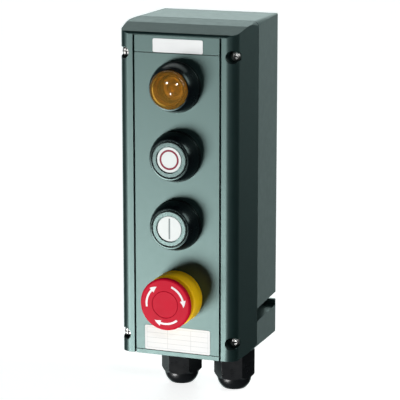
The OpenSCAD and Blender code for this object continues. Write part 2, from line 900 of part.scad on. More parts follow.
// Rod from the cap to the contact bridge, with the flange that stops it being pulled out
module plunger_rod(z, top) {
    stop_top = -seal_t - stop_gap;
    color([0.85, 0.85, 0.80]) at_panel(z) rotate_extrude() polygon([
        [0, plunger_end], [plunger_r, plunger_end], [plunger_r, stop_top - stop_t],
        [stop_r, stop_top - stop_t], [stop_r, stop_top], [plunger_r, stop_top], [plunger_r, top], [0, top]
    ]);
}

module shaft_seal(z) {
    color([0.10, 0.10, 0.10]) at_panel(z) translate([0, 0, -seal_t]) difference() {
        cylinder(r = seal_r, h = seal_t);
        translate([0, 0, -over]) cylinder(r = plunger_r + run_gap, h = seal_t + 2 * over);
    }
}

// Section of the spring wire at one turn angle and height
function coil_ring(height, turn) = [
    for (k = [0:spring_sides - 1])
        let (a = 360 * k / spring_sides, r = spring_r + spring_wire * cos(a))
        [r * cos(turn), r * sin(turn), height + spring_wire * sin(a)]
];

// Coil spring between the web and the underside of a cap; its travel sets how many turns there is room for
module coil_spring(z, top, travel) {
    turns = floor((top - web_t - travel) / (2 * spring_wire)) - 1;
    steps = 14 * turns;
    low = web_t + spring_wire;
    climb = top - web_t - 2 * spring_wire;
    points = [for (i = [0:steps]) each coil_ring(low + climb * i / steps, 360 * turns * i / steps)];
    walls = [
        for (i = [0:steps - 1], k = [0:spring_sides - 1])
            let (near = i * spring_sides, next = (k + 1) % spring_sides)
            [near + k, near + next, near + spring_sides + next, near + spring_sides + k]
    ];
    first = [for (k = [spring_sides - 1:-1:0]) k];
    last = [for (k = [0:spring_sides - 1]) steps * spring_sides + k];
    color([0.75, 0.75, 0.75]) at_panel(z) polyhedron(points = points, faces = concat([first], walls, [last]));
}

// Moulded contact block hung on the neck, with a cavity for the bridge and a terminal shelf at each end
module contact_block(z, face) {
    back = -neck_len - block_d;
    shelf_y = block_h / 2 - shelf_len;
    step_cut = shelf_len + over;
    slit_w = bridge_w + 2 * fit_gap;
    slit_len = block_h / 2 - cavity_half_h + 2 * over;
    color([0.30, 0.32, 0.34]) at_panel(z) difference() {
        union() {
            translate([0, 0, -neck_len]) cylinder(r = grip_r, h = grip_h);
            translate([-block_w / 2, -block_h / 2, back]) cube([block_w, block_h, block_d]);
        }
        translate([0, 0, -neck_len]) cylinder(r = neck_r + fit_gap / 2, h = grip_h + over);
        translate([0, 0, cavity_front - nick]) cylinder(r = plunger_r + end_gap, h = block_wall + over);
        translate([-cavity_half_w, -cavity_half_h, cavity_back])
            cube([2 * cavity_half_w, 2 * cavity_half_h, cavity_front - cavity_back]);
        for (end = [-1, 1]) {
            translate([-cavity_half_w, end * (shelf_y + step_cut / 2) - step_cut / 2, face])
                cube([2 * cavity_half_w, step_cut, over - neck_len - face]);
            translate([-slit_w / 2, end * (cavity_half_h + block_h / 2) / 2 - slit_len / 2, face - metal_t])
                cube([slit_w, slit_len, metal_t + nick]);
            translate([0, end * shelf_mid, face - metal_t - block_screw_len - over])
                cylinder(r = block_screw_r, h = block_screw_len + 2 * over);
        }
    }
}

// Two fixed contacts; side is 1 when their tips face the wall and -1 when they face the front
module fixed_contacts(z, face, side) {
    inner_end = tip_reach - 1.3 * tip_r;
    tip_z = side > 0 ? face - metal_t - tip_t : face;
    color([0.80, 0.62, 0.30]) at_panel(z) for (end = [-1, 1]) {
        difference() {
            union() {
                translate([-bridge_w / 2, end > 0 ? inner_end : -block_h / 2, face - metal_t])
                    cube([bridge_w, block_h / 2 - inner_end, metal_t]);
                translate([0, end * tip_reach, tip_z]) cylinder(r = tip_r, h = tip_t);
            }
            translate([0, end * shelf_mid, face - metal_t - over])
                cylinder(r = block_screw_r + fit_gap, h = metal_t + 2 * over);
        }
    }
}

// Bridge that rides on the end of the plunger and joins the two fixed contacts
module contact_bridge(z, side) {
    tip_z = side > 0 ? bridge_h : bridge_h - metal_t - tip_t;
    color([0.85, 0.68, 0.35]) at_panel(z) {
        translate([0, 0, bridge_h - metal_t / 2]) cube([bridge_w, bridge_len, metal_t], center = true);
        translate([0, 0, bridge_h - nick]) cylinder(r = bridge_pin_r, h = bridge_pin_h + nick);
        for (end = [-1, 1]) {
            translate([0, end * tip_reach, tip_z]) cylinder(r = tip_r, h = tip_t);
        }
    }
}

module screws_of_block(z, face) {
    block_head_r = shelf_len / 2 - fit_gap;
    at_panel(z) for (end = [-1, 1]) {
        translate([0, end * shelf_mid, face]) difference() {
            union() {
                cylinder(r = block_head_r, h = block_head_h);
                translate([0, 0, -metal_t - block_screw_len])
                    cylinder(r = block_screw_r - fit_gap / 2, h = metal_t + block_screw_len + nick);
            }
            translate([0, 0, block_head_h])
                cube([3 * block_head_r, block_drive_w, block_head_h], center = true);
        }
    }
}

module contact_screws() {
    color([0.80, 0.80, 0.78]) {
        screws_of_block(off_z, closed_strip);
        screws_of_block(on_z, open_strip);
        screws_of_block(estop_z, closed_strip);
    }
}

module lamp_bezel() {
    ledge_r = neck_bore_r - lamp_ledge;
    pocket_r = lens_out + fit_gap;
    color([0.07, 0.08, 0.08]) at_panel(lamp_z) rotate_extrude($fn = 96) polygon(concat(
        neck_profile(bezel_r), bezel_profile(),
        [
            [pocket_r, bezel_h], [pocket_r, lens_seat_h], [bezel_bore_r, lens_seat_h], [bezel_bore_r, web_t],
            [ledge_r, web_t], [ledge_r, 0]
        ]
    ));
}

// Hollow lens: rim that lies on the bezel's seat, short skirt inside it and a dome
module lamp_lens() {
    skirt = bezel_bore_r - fit_gap;
    rim_back = lens_seat_h + fit_gap;
    skirt_back = lens_seat_h - lens_skirt;
    steps = 12;
    dome = [for (i = [0:steps])
        [lens_out * cos(90 * i / steps), lens_rim_h + lens_dome_h * sin(90 * i / steps)]];
    inner_r = skirt - lens_t;
    inside = [for (i = [steps:-1:0])
        [inner_r * cos(90 * i / steps), lens_rim_h + (lens_dome_h - lens_t) * sin(90 * i / steps)]];
    color([0.85, 0.50, 0.08, 0.85]) at_panel(lamp_z) rotate_extrude($fn = 96) polygon(concat(
        [[lens_out, rim_back]], dome, inside,
        [[inner_r, skirt_back], [skirt, skirt_back], [skirt, rim_back]]
    ));
}

// Holder hung on the neck, with the bore that the lamp insert stands in
module lamp_holder() {
    shelf_r = neck_bore_r - fit_gap;
    color([0.88, 0.88, 0.84]) at_panel(lamp_z) difference() {
        union() {
            translate([0, 0, holder_back]) cylinder(r = grip_r, h = holder_len + grip_h);
            translate([0, 0, -neck_len - nick]) cylinder(r = shelf_r, h = neck_len + nick);
        }
        difference() {
            translate([0, 0, -neck_len]) cylinder(r = neck_r + fit_gap / 2, h = grip_h + over);
            translate([0, 0, -neck_len - over]) cylinder(r = shelf_r, h = grip_h + 3 * over);
        }
        translate([0, 0, holder_back + holder_floor])
            cylinder(r = led_r + fit_gap, h = holder_len + neck_len);
    }
}

module led_insert() {
    base = holder_back + holder_floor;
    flange_r = led_r + led_flange;
    color([0.95, 0.90, 0.72]) at_panel(lamp_z) rotate_extrude() polygon([
        [0, base], [led_r, base], [led_r, 0], [flange_r, 0], [flange_r, led_flange_t],
        [led_r * 0.9, led_flange_t * 1.3], [led_r * 0.8, led_h * 0.67], [led_r * 0.52, led_h * 0.9],
        [0, led_h]
    ]);
}

module estop_collar() {
    color([0.88, 0.72, 0.05]) at_panel(estop_z) rotate_extrude($fn = 96) polygon(concat(
        neck_profile(collar_r),
        [
            [collar_r, collar_edge], [collar_r - collar_step, collar_edge + collar_step],
            [collar_r - collar_step, collar_waist_h - collar_step], [collar_r, collar_waist_h],
            [collar_r, collar_h - collar_edge], [collar_r - collar_edge, collar_h], [collar_bore_r, collar_h]
        ],
        guide_profile(collar_bore_r)
    ));
}

// Mushroom head: flat face with a well for the centre cap, rounded rim and the skirt that runs in the collar
module estop_head() {
    well_r = centre_r + fit_gap;
    color([0.85, 0.12, 0.16]) at_panel(estop_z) rotate_extrude($fn = 96) polygon([
        [0, head_ceiling], [0, head_h - centre_t], [well_r, head_h - centre_t], [well_r, head_h],
        [head_r - head_edge, head_h - head_edge * 0.1], [head_r - head_edge * 0.4, head_h - head_edge * 0.4],
        [head_r, head_h - head_edge], [head_r, head_under + head_edge / 2],
        [head_r - head_edge / 2, head_under], [skirt_r + skirt_root, head_under],
        [skirt_r, head_under - skirt_root],
        [skirt_r, skirt_end], [skirt_r - skirt_wall, skirt_end], [skirt_r - skirt_wall, head_ceiling],
        [boss_r, head_ceiling], [boss_r, head_ceiling - boss_h], [plunger_r + run_gap, head_ceiling - boss_h],
        [plunger_r + run_gap, head_ceiling]
    ]);
}

// Ring in the collar's neck whose notches hold the pressed stem until the head is turned
module estop_latch_ring() {
    color([0.80, 0.80, 0.78]) at_panel(estop_z) translate([0, 0, -latch_h]) difference() {
        cylinder(r = neck_bore_r - fit_gap / 2, h = latch_h);
        translate([0, 0, -over]) cylinder(r = seal_r + cup_wall + fit_gap, h = latch_h + 2 * over);
        for (i = [0:3]) {
            rotate(90 * i) translate([seal_r + cup_wall, 0, 0])
                cube([2 * latch_notch_d, latch_notch_w, 2 * latch_notch_h], center = true);
        }
    }
}

module estop_centre_cap() {
    edge = 0.4;
    color([0.86, 0.13, 0.17]) at_panel(estop_z) rotate_extrude($fn = 96) polygon([
        [0, head_h - centre_t], [centre_r, head_h - centre_t], [centre_r, head_h - edge],
        [centre_r - edge, head_h], [0, head_h]
    ]);
}

module at_glands() {
    for (side = [-1, 1]) {
        translate([side * gland_x, front_y + gland_y, foot_z]) children();
    }
}

module hexagon(across_flats) {
    circle(r = across_flats / 2 / cos(30), $fn = 6);
}

module gland_washers() {
    color([0.05, 0.05, 0.05]) at_glands() translate([0, 0, -washer_t]) difference() {
        cylinder(r = gland_af / 2 - gland_edge, h = washer_t);
        translate([0, 0, -over]) cylinder(r = gland_thread_r + fit_gap, h = washer_t + 2 * over);
    }
}

module gland_locknuts() {
    color([0.08, 0.08, 0.09]) at_glands() translate([0, 0, wall_t]) difference() {
        rotate(30) linear_extrude(height = locknut_t) hexagon(gland_af);
        translate([0, 0, -over]) cylinder(r = gland_thread_r + fit_gap / 2, h = locknut_t + 2 * over);
    }
}

// Gland body: thread through the wall, fixed hexagon and the sleeve that holds the sealing insert
module gland_bodies() {
    thread_top = wall_t + gland_thread_in;
    color([0.05, 0.05, 0.06]) at_glands() difference() {
        union() {
            translate([0, 0, gland_hex_z - nick]) cylinder(r = gland_thread_r, h = thread_top - gland_hex_z);
            rotate(gland_turn + gland_hex_turn) translate([0, 0, gland_hex_end])
                linear_extrude(height = gland_hex_h) hexagon(gland_af);
            translate([0, 0, -gland_sleeve_end])
                cylinder(r = gland_sleeve_r, h = gland_sleeve_end + gland_hex_end + nick);
        }
        translate([0, 0, insert_top - nick])
            cylinder(r = cable_r + mouth_gap, h = thread_top - insert_top + over);
        translate([0, 0, -gland_sleeve_end - over])
            cylinder(r = insert_r + fit_gap, h = gland_sleeve_end + over + insert_top);
    }
}

module gland_inserts() {
    end = gland_sleeve_end + insert_lip;
    color([0.12, 0.12, 0.12]) at_glands() translate([0, 0, -end]) difference() {
        cylinder(r = insert_r, h = end + insert_top);
        translate([0, 0, -over]) cylinder(r = cable_r, h = end + 2 * over);
    }
}

// Cap nut: chamfered hexagon running into a dome with the cable mouth
module gland_cap_nuts() {
    flat_h = gland_flat_len + gland_hex_end - gland_edge;
    dome_r = gland_af / 2 - gland_edge;
    dome_top = gland_flat_len - 2 * gland_edge;
    steps = 8;
    span = gland_len - dome_top;
    sweep = acos((cable_r + mouth_rim) / dome_r);
    dome = [for (i = [0:steps])
        let (a = sweep * i / steps)
        [dome_r * cos(a), -dome_top - span * sin(a) / sin(sweep)]];
    color([0.05, 0.05, 0.06]) at_glands() difference() {
        union() {
            translate([0, 0, -gland_flat_len]) intersection() {
                rotate(gland_turn) linear_extrude(height = flat_h) hexagon(gland_af);
                cylinder(r1 = gland_af / 2, r2 = gland_af / 2 + flat_h, h = flat_h);
            }
            rotate_extrude()
                polygon(concat([[0, -dome_top + nick], [dome_r, -dome_top + nick]], dome, [[0, -gland_len]]));
        }
        translate([0, 0, -gland_sleeve_end - insert_lip - 2 * fit_gap])
            cylinder(r = gland_sleeve_r + fit_gap, h = gland_sleeve_end);
        translate([0, 0, -gland_len - over]) cylinder(r = cable_r, h = gland_len);
    }
}

rear_housing();
front_cover();
cover_gasket();
cover_screws();
front_plate();
label_strip();
name_label();
rating_plate();
mounting_rail();
rail_screws();
terminal_blocks();
terminal_screws();
earth_terminal();
lamp_bezel();
lamp_lens();
panel_gasket(lamp_z);  // lamp_gasket
ring_nut(lamp_z);  // lamp_ring_nut
lamp_holder();
led_insert();
button_bezel(off_z);  // off_bezel
panel_gasket(off_z);  // off_gasket
ring_nut(off_z);  // off_ring_nut
button_cap(off_z);  // off_cap
legend_disc(off_z);  // off_legend
plunger_rod(off_z, cap_ceiling);  // off_plunger
coil_spring(off_z, cap_ceiling, button_travel);  // off_spring
shaft_seal(off_z);  // off_shaft_seal
contact_block(off_z, closed_strip);  // off_contact_block
fixed_contacts(off_z, closed_strip, 1);  // off_fixed_contacts
contact_bridge(off_z, 1);  // off_contact_bridge
button_bezel(on_z);  // on_bezel
panel_gasket(on_z);  // on_gasket
ring_nut(on_z);  // on_ring_nut
button_cap(on_z);  // on_cap
legend_disc(on_z);  // on_legend
plunger_rod(on_z, cap_ceiling);  // on_plunger
coil_spring(on_z, cap_ceiling, button_travel);  // on_spring
shaft_seal(on_z);  // on_shaft_seal
contact_block(on_z, open_strip);  // on_contact_block
fixed_contacts(on_z, open_strip, -1);  // on_fixed_contacts
contact_bridge(on_z, -1);  // on_contact_bridge
estop_collar();
panel_gasket(estop_z);  // estop_gasket
ring_nut(estop_z);  // estop_ring_nut
estop_head();
estop_centre_cap();
plunger_rod(estop_z, head_ceiling);  // estop_stem
coil_spring(estop_z, head_ceiling, estop_travel);  // estop_spring
estop_latch_ring();
shaft_seal(estop_z);  // estop_shaft_seal
contact_block(estop_z, closed_strip);  // estop_contact_block
fixed_contacts(estop_z, closed_strip, 1);  // estop_fixed_contacts
contact_bridge(estop_z, 1);  // estop_contact_bridge
contact_screws();
gland_bodies();
gland_cap_nuts();
gland_inserts();
gland_washers();
gland_locknuts();
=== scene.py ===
"""Looks, light and camera for the wall-mounted control station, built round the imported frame.

Metres, in the frame's axes: X to the right, Y into the wall, Z up, origin at the centre of the back face.
"""
import json
import math

import bmesh
import bpy
from mathutils import Matrix, Vector
from mathutils.bvhtree import BVHTree


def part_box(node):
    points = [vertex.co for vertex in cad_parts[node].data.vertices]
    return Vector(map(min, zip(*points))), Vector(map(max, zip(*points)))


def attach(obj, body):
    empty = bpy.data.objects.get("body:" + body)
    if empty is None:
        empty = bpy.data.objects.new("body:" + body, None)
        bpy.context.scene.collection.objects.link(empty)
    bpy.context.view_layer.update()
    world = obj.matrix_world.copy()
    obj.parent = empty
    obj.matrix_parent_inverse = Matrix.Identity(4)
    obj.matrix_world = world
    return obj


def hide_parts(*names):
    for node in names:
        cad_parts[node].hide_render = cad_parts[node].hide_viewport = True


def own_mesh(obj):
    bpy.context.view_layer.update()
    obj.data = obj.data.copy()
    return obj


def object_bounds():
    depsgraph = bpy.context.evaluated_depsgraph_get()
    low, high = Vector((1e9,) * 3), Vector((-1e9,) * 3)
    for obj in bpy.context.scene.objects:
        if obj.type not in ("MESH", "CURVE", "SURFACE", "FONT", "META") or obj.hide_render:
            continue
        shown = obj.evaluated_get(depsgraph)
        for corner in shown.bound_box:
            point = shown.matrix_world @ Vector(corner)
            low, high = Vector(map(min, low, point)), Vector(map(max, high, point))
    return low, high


MM = 0.001

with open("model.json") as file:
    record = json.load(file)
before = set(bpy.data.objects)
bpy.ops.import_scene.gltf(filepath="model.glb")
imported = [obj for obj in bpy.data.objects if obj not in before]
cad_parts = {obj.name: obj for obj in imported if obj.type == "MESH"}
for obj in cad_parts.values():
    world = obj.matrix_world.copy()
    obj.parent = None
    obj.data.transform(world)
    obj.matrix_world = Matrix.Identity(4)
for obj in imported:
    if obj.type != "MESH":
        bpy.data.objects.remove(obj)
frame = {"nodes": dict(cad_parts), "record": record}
nodes = frame["nodes"]
cad_low, cad_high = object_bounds()


# ---------------------------------------------------------------- materials

TONE_SCALE, WEAR_SCALE = 60.0, 220.0  # features per metre of the colour patches and of the varied roughness
TONE_DETAIL, WEAR_DETAIL, GRAIN_DETAIL = 4.0, 5.0, 6.0
NOISE_LOW, NOISE_HIGH = 0.3, 0.7  # where nearly all values of a noise texture lie
BUMP_STRENGTH = 0.35
BEVEL_SAMPLES = 4


def empty_material(name):
    material = bpy.data.materials.new(name)
    material.use_nodes = True
    tree = material.node_tree
    tree.nodes.clear()
    output = tree.nodes.new("ShaderNodeOutputMaterial")
    shader = tree.nodes.new("ShaderNodeBsdfPrincipled")
    tree.links.new(shader.outputs["BSDF"], output.inputs["Surface"])
    return material, tree, shader


def noise(tree, scale, detail, stretch):
    """A noise texture in object coordinates; scale is in features per metre, and stretch may be None."""
    coordinates = tree.nodes.new("ShaderNodeTexCoord")
    texture = tree.nodes.new("ShaderNodeTexNoise")
    texture.inputs["Scale"].default_value = scale
    texture.inputs["Detail"].default_value = detail
    source = coordinates.outputs["Object"]
    if stretch:
        mapping = tree.nodes.new("ShaderNodeMapping")
        mapping.inputs["Scale"].default_value = stretch
        tree.links.new(source, mapping.inputs["Vector"])
        source = mapping.outputs["Vector"]
    tree.links.new(source, texture.inputs["Vector"])
    return texture.outputs["Fac"]


def spread_of(tree, source, low, high):
    """Maps a noise's usual range to low..high."""
    mapped = tree.nodes.new("ShaderNodeMapRange")
    mapped.inputs["From Min"].default_value = NOISE_LOW
    mapped.inputs["From Max"].default_value = NOISE_HIGH
    mapped.inputs["To Min"].default_value = low
    mapped.inputs["To Max"].default_value = high
    tree.links.new(source, mapped.inputs["Value"])
    return mapped.outputs["Result"]


def finish(name, colour, rough, patch=0.08, grain=1800.0, depth=0.02, edge=0.25, rough_spread=0.04,
           stretch=None, **sockets):
    """A moulded, cast or drawn surface: soft colour patches, varied roughness, fine grain and softened edges.

    patch is the share by which the colour varies, grain is in features per metre, depth and edge are in millimetres.
    """
    material, tree, shader = empty_material(name)
    tone = spread_of(tree, noise(tree, TONE_SCALE, TONE_DETAIL, stretch), 0.0, 1.0)
    mix = tree.nodes.new("ShaderNodeMix")
    mix.data_type = "RGBA"
    mix.inputs["A"].default_value = [c * (1 - patch) for c in colour] + [1.0]
    mix.inputs["B"].default_value = [min(c * (1 + patch), 1.0) for c in colour] + [1.0]
    tree.links.new(tone, mix.inputs["Factor"])
    tree.links.new(mix.outputs["Result"], shader.inputs["Base Color"])
    wear = noise(tree, WEAR_SCALE, WEAR_DETAIL, stretch)
    tree.links.new(spread_of(tree, wear, rough - rough_spread, rough + rough_spread), shader.inputs["Roughness"])
    bump = tree.nodes.new("ShaderNodeBump")
    bump.inputs["Strength"].default_value = BUMP_STRENGTH
    bump.inputs["Distance"].default_value = depth * MM
    tree.links.new(noise(tree, grain, GRAIN_DETAIL, stretch), bump.inputs["Height"])
    if edge:
        bevel = tree.nodes.new("ShaderNodeBevel")
        bevel.samples = BEVEL_SAMPLES
        bevel.inputs["Radius"].default_value = edge * MM
        tree.links.new(bevel.outputs["Normal"], bump.inputs["Normal"])
    tree.links.new(bump.outputs["Normal"], shader.inputs["Normal"])
    for socket, value in sockets.items():
        shader.inputs[socket.replace("_", " ")].default_value = value
    return material


# the moulded plastic is nearly black and takes its grey-green from what it reflects
TEAL = (0.70, 1.0, 0.95, 1.0)
SATIN = {"Specular_Tint": TEAL, "Specular_IOR_Level": 1.0, "IOR": 1.56, "grain": 1500.0}
MATERIALS = {
    "housing": finish("housing_grain", (0.002, 0.010, 0.010), 0.40, depth=0.004, rough_spread=0.02, **SATIN),
    "panel": finish("panel_satin", (0.002, 0.010, 0.010), 0.42, depth=0.003, rough_spread=0.015, **SATIN),
    "label": finish("label_film", (0.60, 0.61, 0.61), 0.5, patch=0.02, depth=0.005, edge=0.1,
                    Specular_IOR_Level=0.15),
    "legend": finish("legend_white", (0.48, 0.51, 0.50), 0.34, patch=0.02, depth=0.01, edge=0.15),
    "screw_steel": finish("screw_plated", (0.42, 0.42, 0.41), 0.42, stretch=(1, 6, 1), edge=0.15, Metallic=1.0),
    "zinc_steel": finish("zinc_plate", (0.62, 0.63, 0.65), 0.32, patch=0.15, edge=0.15, Metallic=1.0),
    "spring_steel": finish("spring_wire", (0.56, 0.56, 0.57), 0.25, edge=0, Metallic=1.0),
    "brass": finish("brass_bar", (0.80, 0.62, 0.28), 0.28, stretch=(8, 1, 1), edge=0.15, Metallic=1.0),
    "contact_metal": finish("contact_strip", (0.83, 0.62, 0.34), 0.24, stretch=(8, 1, 1), edge=0.1, Metallic=1.0),
    "terminal_plastic": finish("terminal_grey", (0.23, 0.25, 0.25), 0.45),
    "bezel_black": finish("bezel_gloss", (0.002, 0.003, 0.004), 0.25, depth=0.004, rough_spread=0.03, edge=0.2,
                          Specular_IOR_Level=0.45, Specular_Tint=TEAL),
    "nut_plastic": finish("nut_grey", (0.016, 0.016, 0.018), 0.42),
    "seal_rubber": finish("seal_matt", (0.012, 0.012, 0.012), 0.62, depth=0.03, edge=0.2),
    "holder_white": finish("holder_natural", (0.72, 0.71, 0.64), 0.36),
    "led_resin": finish("resin_cast", (0.82, 0.72, 0.42), 0.12, Transmission_Weight=0.5, IOR=1.5),
    "cap_grey": finish("cap_satin", (0.040, 0.055, 0.054), 0.27, depth=0.004, rough_spread=0.02, **SATIN),
    "block_plastic": finish("block_grey", (0.07, 0.08, 0.09), 0.42),
    "collar_yellow": finish("collar_gloss", (0.90, 0.54, 0.004), 0.38, patch=0.04, depth=0.004, edge=0.3,
                            Specular_IOR_Level=0.2),
    "mushroom_red": finish("mushroom_gloss", (0.41, 0.003, 0.019), 0.42, patch=0.04, depth=0.008, edge=0.3,
                           Specular_IOR_Level=0.06),
    "gland_black": finish("gland_polyamide", (0.005, 0.006, 0.007), 0.30, depth=0.01, edge=0.3,
                          Specular_IOR_Level=0.35),
    "lens_amber": finish("lens_clear_amber", (0.78, 0.43, 0.075), 0.09, patch=0.05, depth=0.002, rough_spread=0.01,
                         edge=0, Transmission_Weight=0.9, IOR=1.45, Specular_IOR_Level=0.10),
}

for part in frame["record"]["subparts"]:
    mesh = nodes[part["node"]].data
    mesh.materials.clear()
    mesh.materials.append(MATERIALS[part["material_slot"]])


# ---------------------------------------------------------------- pieces: helpers

SEGMENTS = 96  # round a turned piece
SHARP = math.radians(24)  # corners above this angle stay sharp on a turned piece
POLE = 0.02  # radius, in mm, at which a turned profile ends on its axis


def add_mesh(name, builder, material, body, smooth=True):
    mesh = bpy.data.meshes.new(name)
    builder.to_mesh(mesh)
    builder.free()
    if smooth:
        mesh.shade_smooth()
    else:
        mesh.shade_flat()
    mesh.materials.append(material)
    piece = bpy.data.objects.new(name, mesh)
    bpy.context.scene.collection.objects.link(piece)
    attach(piece, body)
    return piece


def middle(node):
    low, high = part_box(node)
    return (low + high) / 2


def front_middle(node):
    """The middle of a node's front face."""
    face = middle(node)
    face.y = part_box(node)[0].y
    return face


def in_metres(profile):
    return [(r * MM, h * MM) for r, h in profile]


def lathed_ring(profile, centre):
    """A closed profile of (radius, height out of the front) turned about the Y axis through centre."""
    built = bmesh.new()
    rings = []
    for k in range(SEGMENTS):
        turn = 2 * math.pi * k / SEGMENTS
        rings.append([built.verts.new((centre.x + r * math.cos(turn), centre.y - h, centre.z + r * math.sin(turn)))
                      for r, h in profile])
    count = len(profile)
    for k in range(SEGMENTS):
        here, there = rings[k], rings[(k + 1) % SEGMENTS]
        for i in range(count):
            built.faces.new((here[i], there[i], there[(i + 1) % count], here[(i + 1) % count]))
    bmesh.ops.recalc_face_normals(built, faces=built.faces)
    return built


def turned(name, profile, centre, material, body):
    piece = add_mesh(name, lathed_ring(profile, centre), MATERIALS[material], body)
    piece.data.set_sharp_from_angle(angle=SHARP)
    return piece


def bend(a, b, c, count):
    """Points of the curve from a to c that leans towards b."""
    shares = [i / count for i in range(count + 1)]
    return [tuple((1 - t) ** 2 * p + 2 * t * (1 - t) * q + t * t * s for p, q, s in zip(a, b, c)) for t in shares]


def lifted_outline(outlines, low, high, edge):
    """Flat shapes seen from the front, given as lists of (x, z), made into thin plates with chamfered edges.

    low and high are functions of (x, z) that give the y of a plate's back and front.
    """
    built = bmesh.new()
    for outline in outlines:
        count = len(outline)
        centre = Vector((sum(p[0] for p in outline) / count, sum(p[1] for p in outline) / count))
        inner = [Vector(p) + (centre - Vector(p)).normalized() * edge for p in outline]
        back = [built.verts.new((x, low(x, z), z)) for x, z in outline]
        side = [built.verts.new((x, (low(x, z) + high(x, z)) / 2, z)) for x, z in outline]
        front = [built.verts.new((p.x, high(p.x, p.y), p.y)) for p in inner]
        built.faces.new(back)
        built.faces.new(front)
        for i in range(count):
            j = (i + 1) % count
            built.faces.new((back[i], back[j], side[j], side[i]))
            built.faces.new((side[i], side[j], front[j], front[i]))
    bmesh.ops.recalc_face_normals(built, faces=built.faces)
    return built


# ---------------------------------------------------------------- pieces: turned and wound

# bezels: a narrow foot with a step above it, an upright side, a full shoulder and a thin lip, in mm as (radius, height)
NECK_LENGTH = 16.0
BEZEL_NECK = [(12.0, 0.0), (12.0, -NECK_LENGTH), (15.0, -NECK_LENGTH), (15.0, 0.0)]
BEZEL_FOOT = [(18.2, 0.0), (18.6, 0.35), (18.6, 1.9), (18.4, 2.25), (18.0, 2.4), (18.0, 2.75), (18.25, 3.0)]
BEZEL_SHOULDER = bend((18.25, 5.4), (16.9, 11.6), (15.0, 14.8), 12)
BEZEL_LIP = [(14.95, 15.0), (14.7, 15.1)]
BEZEL_OUTSIDE = BEZEL_FOOT + BEZEL_SHOULDER + BEZEL_LIP
BUTTON_INSIDE = [(13.75, 15.1), (13.65, 15.0), (13.65, 13.9), (13.2, 13.9), (13.2, 3.0), (4.05, 3.0), (4.05, 0.0),
                 (7.55, 0.0), (7.55, -2.5), (8.9, -2.5), (8.9, 0.0)]
LAMP_INSIDE = [(14.2, 15.1), (14.1, 15.0), (14.1, 10.6), (13.2, 10.6), (13.2, 3.0), (10.0, 3.0), (10.0, 0.0)]


def bezel(node, inside):
    """The bezel of a control, turned on the axis and from the panel face of its CAD node, which it stands for."""
    low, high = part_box(node)
    centre = Vector(((low.x + high.x) / 2, high.y - NECK_LENGTH * MM, (low.z + high.z) / 2))
    profile = in_metres(BEZEL_NECK + BEZEL_OUTSIDE + inside)
    piece = turned(node + "_turned", profile, centre, "bezel_black", "station")
    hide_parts(node)


bezel("off_bezel", BUTTON_INSIDE)
bezel("on_bezel", BUTTON_INSIDE)
bezel("lamp_bezel", LAMP_INSIDE)

# the lens: a thin dome on a rim that lies on the bezel's seat, with a short skirt inside it, in mm
LENS_R, LENS_BORE_R = 13.9, 11.3
LENS_SEAT, LENS_SHOULDER, LENS_HEIGHT = 10.85, 16.4, 23.8
DOME_OUTER_RISE, DOME_INNER_RISE = 7.4, 5.6
DOME_STEPS = 48
SKIRT_R, SKIRT_END = 13.1, 9.4
LENS_OUTSIDE = [(LENS_R, LENS_SEAT), (LENS_R, LENS_SHOULDER)]
for i in range(1, DOME_STEPS + 1):
    rise = math.pi * i / (2 * DOME_STEPS)
    LENS_OUTSIDE.append((max(LENS_R * math.cos(rise), POLE), LENS_SHOULDER + DOME_OUTER_RISE * math.sin(rise)))
LENS_INSIDE = []
for i in range(DOME_STEPS + 1):
    fall = math.pi * i / (2 * DOME_STEPS)
    LENS_INSIDE.append((max(LENS_BORE_R * math.sin(fall), POLE), LENS_SHOULDER + DOME_INNER_RISE * math.cos(fall)))
LENS_INSIDE += [(LENS_BORE_R, SKIRT_END), (SKIRT_R, SKIRT_END), (SKIRT_R, LENS_SEAT)]

lens_low, lens_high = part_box("lamp_lens")
lens_foot = Vector(((lens_low.x + lens_high.x) / 2, lens_low.y + LENS_HEIGHT * MM, (lens_low.z + lens_high.z) / 2))
lens = turned("lamp_lens_turned", in_metres(LENS_OUTSIDE + LENS_INSIDE), lens_foot, "lens_amber", "station")
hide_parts("lamp_lens")

# the white discs, a little smaller than their pockets so that a dark line runs round them
LEGEND_R, LEGEND_EDGE = 9.15 * MM, 0.12 * MM


def legend(node, body):
    low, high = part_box(node)
    foot = Vector(((low.x + high.x) / 2, high.y, (low.z + high.z) / 2))
    height = high.y - low.y
    profile = [(POLE * MM, 0.0), (LEGEND_R, 0.0), (LEGEND_R, height - LEGEND_EDGE),
               (LEGEND_R - LEGEND_EDGE, height), (POLE * MM, height)]
    disc = turned(node + "_turned", profile, foot, "legend", body)
    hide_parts(node)


legend("off_legend", "off_button")
legend("on_legend", "on_button")

# return springs, wound from round wire, each of one fixed length; the real ones shorten towards the bezel's web as
# their control goes in
SPRING_R, WIRE_R = 8.0 * MM, 0.6 * MM
SPRING_SEAT_Y = -93.5 * MM
WIRE_SIDES, STEPS_PER_TURN = 10, 36


def wound_wire(centre, front, turns):
    """A helix of round wire from the seat to front, with flat ends."""
    built = bmesh.new()
    rings = []
    steps = STEPS_PER_TURN * turns
    for i in range(steps + 1):
        turn = 2 * math.pi * turns * i / steps
        y = SPRING_SEAT_Y - WIRE_R + (front - SPRING_SEAT_Y + 2 * WIRE_R) * i / steps
        ring = []
        for k in range(WIRE_SIDES):
            around = 2 * math.pi * k / WIRE_SIDES
            r = SPRING_R + WIRE_R * math.cos(around)
            ring.append(built.verts.new((centre.x + r * math.cos(turn), y + WIRE_R * math.sin(around),
                                         centre.z + r * math.sin(turn))))
        rings.append(ring)
    for here, there in zip(rings, rings[1:]):
        for k in range(WIRE_SIDES):
            n = (k + 1) % WIRE_SIDES
            built.faces.new((here[k], here[n], there[n], there[k]))
    built.faces.new(rings[0])
    built.faces.new(rings[-1])
    bmesh.ops.recalc_face_normals(built, faces=built.faces)
    return built


